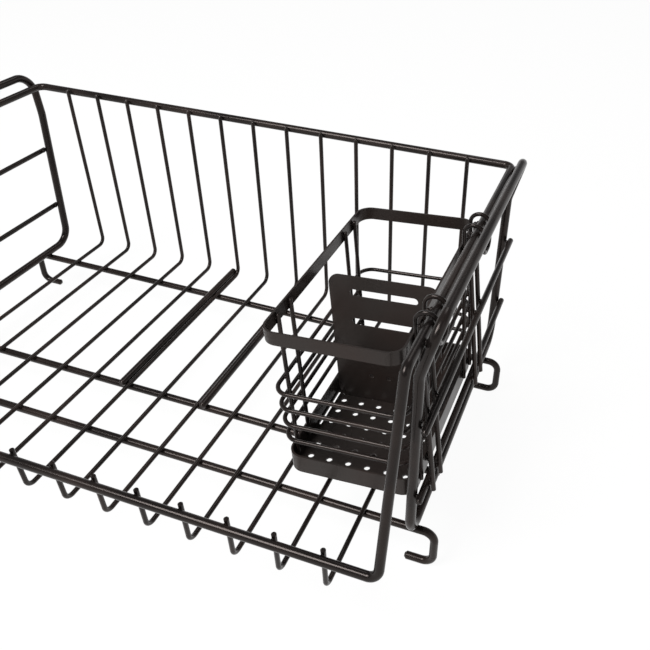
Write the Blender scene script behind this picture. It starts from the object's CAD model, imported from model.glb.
import math
import random

import bmesh
import bpy
from bpy.props import FloatProperty, IntProperty, PointerProperty, StringProperty
from mathutils import Euler, Matrix, Vector


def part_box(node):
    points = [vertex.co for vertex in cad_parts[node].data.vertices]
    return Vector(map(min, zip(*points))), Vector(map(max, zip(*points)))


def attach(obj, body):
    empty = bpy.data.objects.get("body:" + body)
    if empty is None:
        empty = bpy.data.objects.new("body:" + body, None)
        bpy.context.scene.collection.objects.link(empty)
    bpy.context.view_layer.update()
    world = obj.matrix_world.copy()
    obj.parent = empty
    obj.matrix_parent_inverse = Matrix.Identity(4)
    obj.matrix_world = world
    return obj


bl_info = {
    "name": "Wire dish rack finishing",
    "version": (1, 0, 0),
    "blender": (4, 5, 0),
    "location": "View3D > Sidebar > Dish Rack",
    "description": "Coats a welded wire dish rack, adds its weld spots and sets it in a studio",
    "category": "Object",
}

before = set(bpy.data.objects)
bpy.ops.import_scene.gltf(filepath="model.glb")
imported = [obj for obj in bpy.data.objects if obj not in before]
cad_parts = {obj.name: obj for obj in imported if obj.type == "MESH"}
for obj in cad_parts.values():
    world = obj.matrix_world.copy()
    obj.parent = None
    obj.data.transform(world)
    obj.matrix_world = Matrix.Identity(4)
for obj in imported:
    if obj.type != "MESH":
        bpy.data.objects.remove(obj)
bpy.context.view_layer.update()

MM = 0.001
BASKET_LEAN = math.radians(4.6)
WIRES = [f"grid_wire_{i:02d}" for i in range(1, 14)]
CROSS_RAILS = ["cross_rail_front", "cross_rail_back", "cross_rail_middle"]
FLOOR_BARS = ["floor_bar_left", "floor_bar_right"]
SIDES = ("left", "right")
LOOPS = [f"basket_loop_{i}" for i in range(1, 5)]
UPRIGHTS = [f"basket_upright_{i}" for i in range(1, 5)]
HOOKS = ["basket_hook_front", "basket_hook_back"]
SHEETS = ["basket_band", "basket_tray", "basket_divider"]


# ---------- sizes and colours a user would change ----------


class RackCoating(bpy.types.PropertyGroup):
    wire_colour: StringProperty(
        name="Wire colour", description="sRGB hex of the coat on the wires", default="#171413"
    )
    sheet_colour: StringProperty(
        name="Sheet colour",
        description="sRGB hex of the coat on the sheet pieces",
        default="#2a2624",
    )
    warm_colour: StringProperty(
        name="Warm tint",
        description="sRGB hex of the places where the coat is thinner and looks browner",
        default="#2b2320",
    )
    roughness: FloatProperty(
        name="Roughness", description="How satin the cured coat is", default=0.23, min=0.1, max=0.9
    )
    peel_size: FloatProperty(
        name="Orange peel size",
        description="Distance between the coat's ripples",
        default=1.4 * MM,
        min=0.3 * MM,
        max=5 * MM,
        subtype="DISTANCE",
        unit="LENGTH",
    )
    peel_depth: FloatProperty(
        name="Orange peel depth",
        description="Height of the coat's ripples",
        default=0.003 * MM,
        min=0.0,
        max=0.2 * MM,
        subtype="DISTANCE",
        unit="LENGTH",
    )


class RackWelds(bpy.types.PropertyGroup):
    spot_radius: FloatProperty(
        name="Weld spot radius",
        description="Half width of the metal squeezed out where two rods are welded",
        default=1.5 * MM,
        min=0.5 * MM,
        max=3 * MM,
        subtype="DISTANCE",
        unit="LENGTH",
    )
    seed: IntProperty(
        name="Seed", description="Seed of the small differences between spots", default=7
    )


class RackStudio(bpy.types.PropertyGroup):
    floor_colour: StringProperty(
        name="Floor colour", description="sRGB hex of the floor", default="#f2f1ef"
    )
    floor_size: FloatProperty(
        name="Floor size",
        description="Side of the square floor",
        default=8.0,
        min=2.0,
        subtype="DISTANCE",
        unit="LENGTH",
    )
    key_power: FloatProperty(
        name="Key light",
        description="Power of the large softbox",
        default=24.0,
        min=0.0,
        unit="POWER",
    )
    fill_power: FloatProperty(
        name="Fill light",
        description="Power of the softbox on the right",
        default=1.5,
        min=0.0,
        unit="POWER",
    )
    back_power: FloatProperty(
        name="Back light",
        description="Power of the softbox behind",
        default=2.5,
        min=0.0,
        unit="POWER",
    )


# Resin is about 1.5. Matting powder and pigment at the surface weaken its reflection.
COAT_IOR = 1.36
COAT_REFLECTION = "#f4e6e0"  # slightly warm
SHEET_EXTRA_ROUGHNESS = 0.06
SHEET_PEEL = 5.0  # the ripples on flat sheet are deeper than on thin wire


# ---------- helpers ----------


def linear(hex_colour):
    """An sRGB hex colour as linear RGBA."""
    parts = [int(hex_colour[i : i + 2], 16) / 255 for i in (1, 3, 5)]
    return [c / 12.92 if c <= 0.04045 else ((c + 0.055) / 1.055) ** 2.4 for c in parts] + [1.0]


def node(tree, kind, settings=None, inputs=None):
    """Adds a node. An input that is a socket is linked, and any other value is set."""
    n = tree.nodes.new(kind)
    for key, value in (settings or {}).items():
        setattr(n, key, value)
    for key, value in (inputs or {}).items():
        if isinstance(value, bpy.types.NodeSocket):
            tree.links.new(value, n.inputs[key])
        else:
            n.inputs[key].default_value = value
    return n


def new_material(name):
    m = bpy.data.materials.new(name)
    m.use_nodes = True
    m.node_tree.nodes.clear()
    return m


def powder_coat(name, base_hex, settings, roughness, peel):
    """Polyester powder coat on steel: sprayed dry and baked, so it flows out satin with a fine
    orange peel. The eye sees soft broad highlights, a slightly uneven sheen and a browner tint
    where the coat is thin."""
    m = new_material(name)
    t = m.node_tree
    coords = node(t, "ShaderNodeTexCoord").outputs["Object"]
    # Drift in coat thickness over a few centimetres
    drift = node(t, "ShaderNodeTexNoise", None, {"Vector": coords, "Scale": 22.0, "Detail": 3.0})
    # Grain of the powder, 0.5 mm, coarser than the real grit so that it shows
    grain = node(t, "ShaderNodeTexNoise", None, {"Vector": coords, "Scale": 2000.0, "Detail": 1.0})
    thin = node(
        t,
        "ShaderNodeMapRange",
        None,
        {"Value": drift.outputs["Fac"], "From Min": 0.42, "From Max": 0.68},
    )
    tint = node(
        t,
        "ShaderNodeMix",
        {"data_type": "RGBA"},
        {
            "Factor": thin.outputs["Result"],
            "A": linear(base_hex),
            "B": linear(settings.warm_colour),
        },
    )
    speckle = node(
        t,
        "ShaderNodeMapRange",
        None,
        {
            "Value": grain.outputs["Fac"],
            "From Min": 0.3,
            "From Max": 0.7,
            "To Min": 0.88,
            "To Max": 1.1,
        },
    )
    colour = node(
        t,
        "ShaderNodeVectorMath",
        {"operation": "SCALE"},
        {0: tint.outputs["Result"], "Scale": speckle.outputs["Result"]},
    )
    sheen = node(
        t,
        "ShaderNodeMapRange",
        None,
        {
            "Value": drift.outputs["Fac"],
            "From Min": 0.3,
            "From Max": 0.7,
            "To Min": roughness - 0.05,
            "To Max": roughness + 0.07,
        },
    )
    ripple = node(
        t,
        "ShaderNodeTexNoise",
        None,
        {"Vector": coords, "Scale": 1 / settings.peel_size, "Detail": 1.5, "Roughness": 0.4},
    )
    bump = node(
        t,
        "ShaderNodeBump",
        None,
        {"Strength": 1.0, "Distance": settings.peel_depth * peel, "Height": ripple.outputs["Fac"]},
    )
    shader = node(
        t,
        "ShaderNodeBsdfPrincipled",
        None,
        {
            "Base Color": colour.outputs["Vector"],
            "Roughness": sheen.outputs["Result"],
            "Normal": bump.outputs["Normal"],
            "IOR": COAT_IOR,
            "Specular Tint": linear(COAT_REFLECTION),
        },
    )
    node(t, "ShaderNodeOutputMaterial", None, {"Surface": shader.outputs["BSDF"]})
    return m


def background_rays(tree, reach=1.0):
    """1 for the rays that see the white background: the camera's own, and, as far as `reach`,
    those that a glossy or clear surface sends on. The rays that light the object get 0."""
    path = node(tree, "ShaderNodeLightPath").outputs
    shiny = node(
        tree,
        "ShaderNodeMath",
        {"operation": "MAXIMUM"},
        {0: path["Is Glossy Ray"], 1: path["Is Transmission Ray"]},
    )
    sent_on = node(
        tree, "ShaderNodeMath", {"operation": "MULTIPLY"}, {0: shiny.outputs[0], 1: reach}
    )
    seen = node(
        tree,
        "ShaderNodeMath",
        {"operation": "MAXIMUM"},
        {0: path["Is Camera Ray"], 1: sent_on.outputs[0]},
    )
    return seen.outputs[0]


def finish_nodes(names, material):
    for name in names:
        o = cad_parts[name]
        for s in o.material_slots:
            s.material = material


def middle(name):
    lo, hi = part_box(name)
    return (lo + hi) / 2


def half_size(name, axis):
    lo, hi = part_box(name)
    return (hi[axis] - lo[axis]) / 2


# Radii of the rods: read from straight pieces where their box gives it, and stated otherwise
WIRE_R = half_size("grid_wire_01", 0)
BASKET_R = half_size("basket_upright_1", 1)
RIM_R = 2.75 * MM
SIDE_FRAME_R = 3.0 * MM
BAR_END = 4.3 * MM  # from a side bar's end to the middle of the upright it is welded to


RIM_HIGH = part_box("rim_frame")[1]
# A point of the right side rail's centre line, on which the basket hangs
HANG_PIVOT = Vector((RIM_HIGH.x - RIM_R, 0, RIM_HIGH.z - RIM_R))


def turned_about_rim(point, angle):
    """A point turned about the right side rail."""
    return HANG_PIVOT + Matrix.Rotation(angle, 3, "Y") @ (Vector(point) - HANG_PIVOT)


def hang(point):
    """A point of the upright basket, turned to the lean at which it hangs on the rim."""
    return turned_about_rim(point, -BASKET_LEAN)


def upright_box(name):
    """The box of a basket piece when the basket is turned back upright."""
    points = [turned_about_rim(v.co, BASKET_LEAN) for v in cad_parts[name].data.vertices]
    return (
        Vector([min(p[i] for p in points) for i in range(3)]),
        Vector([max(p[i] for p in points) for i in range(3)]),
    )


# Camera: close above the right front corner, in metres and degrees
CAMERA_PLACE = (0.27505, -0.35322, 0.39662)
CAMERA_TURN = (56.764, -1.892, 19.037)
CAMERA_LENS = 41.896  # in mm
CAMERA_SHIFT = (-0.1129, -0.0710)
LAMPS_AIM = Vector((0.05, 0.0, 0.08))  # inside the rack, a little to the right
GLOW_SHARE = 0.92  # the rest of the floor's white is lit, and holds the rack's shadow
GLOW_STRENGTH = 1.03
ROOM_STRENGTH = 0.22  # the world's light on the rack, weak so that the softboxes shape it
WELD_FLATNESS = 0.62  # height of a weld bead against its width
BASKET_WELD_SHARE = 0.8  # beads on the basket's thinner wires against those on the rack


def weld_mesh(name, spots, radius, seed, body, material):
    """One mesh of small weld spots: flat beads of metal squeezed out between two crossing rods.
    Each spot is (place, direction from one rod to the other)."""
    rng = random.Random(seed)
    bm = bmesh.new()
    for place, across in spots:
        made = bmesh.ops.create_icosphere(bm, subdivisions=2, radius=radius)["verts"]
        turn = Vector(across).to_track_quat("Z", "X").to_matrix().to_4x4()
        size = rng.uniform(0.9, 1.12)
        shape = Matrix.Diagonal((size * rng.uniform(0.9, 1.15), size, WELD_FLATNESS, 1.0))
        spin = Matrix.Rotation(rng.uniform(0, 3), 4, "Z")
        matrix = Matrix.Translation(place) @ turn @ spin @ shape
        bmesh.ops.transform(bm, matrix=matrix, verts=made)
    for f in bm.faces:
        f.smooth = True
    mesh = bpy.data.meshes.new(name)
    bm.to_mesh(mesh)
    bm.free()
    o = bpy.data.objects.new(name, mesh)
    bpy.context.scene.collection.objects.link(o)
    mesh.materials.append(material)
    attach(o, body)
    return o


# ---------- operators ----------


class RACK_OT_coat_wires(bpy.types.Operator):
    """Coats the rack's wires, rails and side frames"""

    bl_idname = "rack.coat_wires"
    bl_label = "Coat the rack's wires"

    def execute(self, context):
        coat = context.scene.rack_coating
        m = powder_coat("powder_coated_steel_wire", coat.wire_colour, coat, coat.roughness, 1.0)
        finish_nodes([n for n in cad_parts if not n.startswith("basket")], m)
        return {"FINISHED"}


class RACK_OT_coat_basket(bpy.types.Operator):
    """Coats the utensil basket's wires and its sheet pieces"""

    bl_idname = "rack.coat_basket"
    bl_label = "Coat the utensil basket"

    def execute(self, context):
        coat = context.scene.rack_coating
        wire = bpy.data.materials["powder_coated_steel_wire"]
        roughness = coat.roughness + SHEET_EXTRA_ROUGHNESS
        sheet = powder_coat(
            "powder_coated_sheet_steel", coat.sheet_colour, coat, roughness, SHEET_PEEL
        )
        finish_nodes(LOOPS + UPRIGHTS + HOOKS, wire)
        finish_nodes(SHEETS, sheet)
        return {"FINISHED"}


class RACK_OT_rack_welds(bpy.types.Operator):
    """Adds the weld spots where the rack's rods cross"""

    bl_idname = "rack.rack_welds"
    bl_label = "Weld the rack"

    def execute(self, context):
        welds = context.scene.rack_welds
        spots = []
        rim_lo, rim_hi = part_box("rim_frame")
        back_y, rail_top = rim_hi.y - RIM_R, rim_hi.z - RIM_R
        front_y = rim_lo.y + RIM_R
        front_z = rim_lo.z + RIM_R
        for name in WIRES:
            lo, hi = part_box(name)
            x = (lo.x + hi.x) / 2
            floor_z = lo.z + WIRE_R
            for rail in CROSS_RAILS:
                y = middle(rail).y
                spots.append((Vector((x, y, floor_z - WIRE_R)), (0, 0, 1)))
            spots.append((Vector((x, back_y - RIM_R, rail_top)), (0, 1, 0)))
            spots.append((Vector((x, front_y + RIM_R, front_z)), (0, 1, 0)))
        for name in FLOOR_BARS:
            lo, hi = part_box(name)
            x, z = (lo.x + hi.x) / 2, lo.z
            for rail in ("cross_rail_middle", "cross_rail_back"):
                spots.append((Vector((x, middle(rail).y, z)), (0, 0, 1)))
        for side, sign in zip(SIDES, (-1, 1)):
            lo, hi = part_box(f"side_frame_{side}")
            inner = lo.x if sign > 0 else hi.x
            x = inner + sign * SIDE_FRAME_R
            for rail in CROSS_RAILS:
                spots.append((Vector((x, middle(rail).y, lo.z)), (0, 0, 1)))
            rim_x = rim_hi.x if sign > 0 else rim_lo.x
            for y in (lo.y + SIDE_FRAME_R, hi.y - SIDE_FRAME_R):
                spots.append((Vector((rim_x, y, rail_top)), (1, 0, 0)))
            wires = [middle(f"side_wire_{side}_{i}").y for i in range(1, 5)]
            for y in wires:
                spots.append((Vector((rim_x - sign * 2 * RIM_R, y, rail_top)), (1, 0, 0)))
            # The wires pass inside the upper bar and outside the lower one
            for level, wire_side in (("lower", 1), ("upper", -1)):
                blo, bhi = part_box(f"{level}_side_bar_{side}")
                bar_r = (bhi.z - blo.z) / 2
                bar = (blo + bhi) / 2
                for y in (blo.y + BAR_END, bhi.y - BAR_END):
                    spots.append((Vector((bar.x - sign * bar_r, y, bar.z)), (1, 0, 0)))
                for y in wires:
                    spots.append((Vector((bar.x + sign * wire_side * bar_r, y, bar.z)), (1, 0, 0)))
        o = weld_mesh(
            "rack_weld_spots", spots, welds.spot_radius, welds.seed, "rack",
            bpy.data.materials["powder_coated_steel_wire"],
        )
        return {"FINISHED"}


class RACK_OT_basket_welds(bpy.types.Operator):
    """Adds the weld spots where the basket's wires cross its loops, band and tray"""

    bl_idname = "rack.basket_welds"
    bl_label = "Weld the utensil basket"

    def execute(self, context):
        welds = context.scene.rack_welds
        spots = []
        for hoop in LOOPS + ["basket_band", "basket_tray"]:
            llo, lhi = upright_box(hoop)
            z = (llo.z + lhi.z) / 2
            for name in UPRIGHTS:
                wlo, whi = upright_box(name)
                spots.append((hang((wlo.x, (wlo.y + whi.y) / 2, z)), (1, 0, 0)))
            for name in HOOKS:
                wlo, whi = upright_box(name)
                for y in (wlo.y + BASKET_R, whi.y - BASKET_R):
                    spots.append((hang((wlo.x, y, z)), (1, 0, 0)))
        o = weld_mesh(
            "basket_weld_spots", spots, welds.spot_radius * BASKET_WELD_SHARE, welds.seed + 1,
            "utensil_basket", bpy.data.materials["powder_coated_steel_wire"],
        )
        return {"FINISHED"}


class RACK_OT_studio(bpy.types.Operator):
    """Adds the floor, the soft lights and the camera"""

    bl_idname = "rack.studio"
    bl_label = "Set up the studio"

    def execute(self, context):
        scene = context.scene
        studio = scene.rack_studio

        bm = bmesh.new()
        bmesh.ops.create_grid(bm, x_segments=1, y_segments=1, size=studio.floor_size / 2)
        mesh = bpy.data.meshes.new("floor")
        bm.to_mesh(mesh)
        bm.free()
        floor = bpy.data.objects.new("floor", mesh)
        scene.collection.objects.link(floor)
        m = new_material("pale_floor")
        t = m.node_tree
        matt = node(t, "ShaderNodeBsdfDiffuse", None, {"Color": linear(studio.floor_colour)})
        glow = node(
            t, "ShaderNodeEmission", None, {"Color": (1, 1, 1, 1), "Strength": GLOW_STRENGTH}
        )
        seen = node(
            t,
            "ShaderNodeMath",
            {"operation": "MULTIPLY"},
            {0: background_rays(t), 1: GLOW_SHARE},
        )
        mix = node(
            t,
            "ShaderNodeMixShader",
            None,
            {0: seen.outputs[0], 1: matt.outputs[0], 2: glow.outputs[0]},
        )
        node(t, "ShaderNodeOutputMaterial", None, {"Surface": mix.outputs[0]})
        mesh.materials.append(m)

        world = bpy.data.worlds.new("studio")
        world.use_nodes = True
        scene.world = world
        t = world.node_tree
        t.nodes.clear()
        room = node(
            t,
            "ShaderNodeBackground",
            None,
            {"Color": (0.95, 0.97, 1.0, 1), "Strength": ROOM_STRENGTH},
        )
        white = node(t, "ShaderNodeBackground", None, {"Color": (1, 1, 1, 1), "Strength": 1.0})
        # Seen from the table, the white backdrop fades into the dim ceiling between 9 and 24
        # degrees up, so a glossy wire sees white at its edges and the dim room on top. The
        # limits below are the sines of those angles.
        direction = node(t, "ShaderNodeTexCoord").outputs["Generated"]
        height = node(t, "ShaderNodeSeparateXYZ", None, {"Vector": direction}).outputs["Z"]
        backdrop = node(
            t,
            "ShaderNodeMapRange",
            None,
            {"Value": height, "From Min": 0.15, "From Max": 0.4, "To Min": 1.0, "To Max": 0.0},
        )
        seen = background_rays(t, backdrop.outputs["Result"])
        mix = node(
            t, "ShaderNodeMixShader", None, {0: seen, 1: room.outputs[0], 2: white.outputs[0]}
        )
        node(t, "ShaderNodeOutputWorld", None, {"Surface": mix.outputs[0]})

        for name, place, size, power in (
            ("key_softbox", Vector((-0.4, -0.8, 1.35)), 0.7, studio.key_power),
            ("fill_softbox", Vector((1.3, -0.5, 0.9)), 0.9, studio.fill_power),
            ("back_softbox", Vector((0.1, 0.9, 1.4)), 0.6, studio.back_power),
        ):
            lamp = bpy.data.lights.new(name, "AREA")
            lamp.energy = power
            lamp.size = size
            o = bpy.data.objects.new(name, lamp)
            o.location = place
            o.rotation_euler = (LAMPS_AIM - place).to_track_quat("-Z", "Y").to_euler()
            scene.collection.objects.link(o)

        camera = bpy.data.cameras.new("camera")
        camera.lens = CAMERA_LENS
        camera.sensor_width = 36.0
        camera.shift_x, camera.shift_y = CAMERA_SHIFT
        o = bpy.data.objects.new("camera", camera)
        o.location = CAMERA_PLACE
        o.rotation_euler = Euler([math.radians(a) for a in CAMERA_TURN], "XYZ")
        scene.collection.objects.link(o)
        scene.camera = o
        scene.view_settings.view_transform = "Standard"
        return {"FINISHED"}


class RACK_PT_panel(bpy.types.Panel):
    """Lists the rack's finishing steps"""

    bl_idname = "RACK_PT_panel"
    bl_label = "Dish Rack"
    bl_space_type = "VIEW_3D"
    bl_region_type = "UI"
    bl_category = "Dish Rack"

    def draw(self, context):
        scene = context.scene
        for group, operators in (
            (scene.rack_coating, (RACK_OT_coat_wires, RACK_OT_coat_basket)),
            (scene.rack_welds, (RACK_OT_rack_welds, RACK_OT_basket_welds)),
            (scene.rack_studio, (RACK_OT_studio,)),
        ):
            box = self.layout.box()
            for key in group.bl_rna.properties.keys():
                if key not in ("rna_type", "name"):
                    box.prop(group, key)
            for operator in operators:
                box.operator(operator.bl_idname)


CLASSES = (
    RackCoating,
    RackWelds,
    RackStudio,
    RACK_OT_coat_wires,
    RACK_OT_coat_basket,
    RACK_OT_rack_welds,
    RACK_OT_basket_welds,
    RACK_OT_studio,
    RACK_PT_panel,
)


def register():
    for c in CLASSES:
        bpy.utils.register_class(c)
    bpy.types.Scene.rack_coating = PointerProperty(type=RackCoating)
    bpy.types.Scene.rack_welds = PointerProperty(type=RackWelds)
    bpy.types.Scene.rack_studio = PointerProperty(type=RackStudio)


def unregister():
    del bpy.types.Scene.rack_studio
    del bpy.types.Scene.rack_welds
    del bpy.types.Scene.rack_coating
    for c in reversed(CLASSES):
        bpy.utils.unregister_class(c)


def main():
    register()
    bpy.ops.rack.coat_wires()
    bpy.ops.rack.coat_basket()
    bpy.ops.rack.rack_welds()
    bpy.ops.rack.basket_welds()
    bpy.ops.rack.studio()


if __name__ == "__main__":
    main()
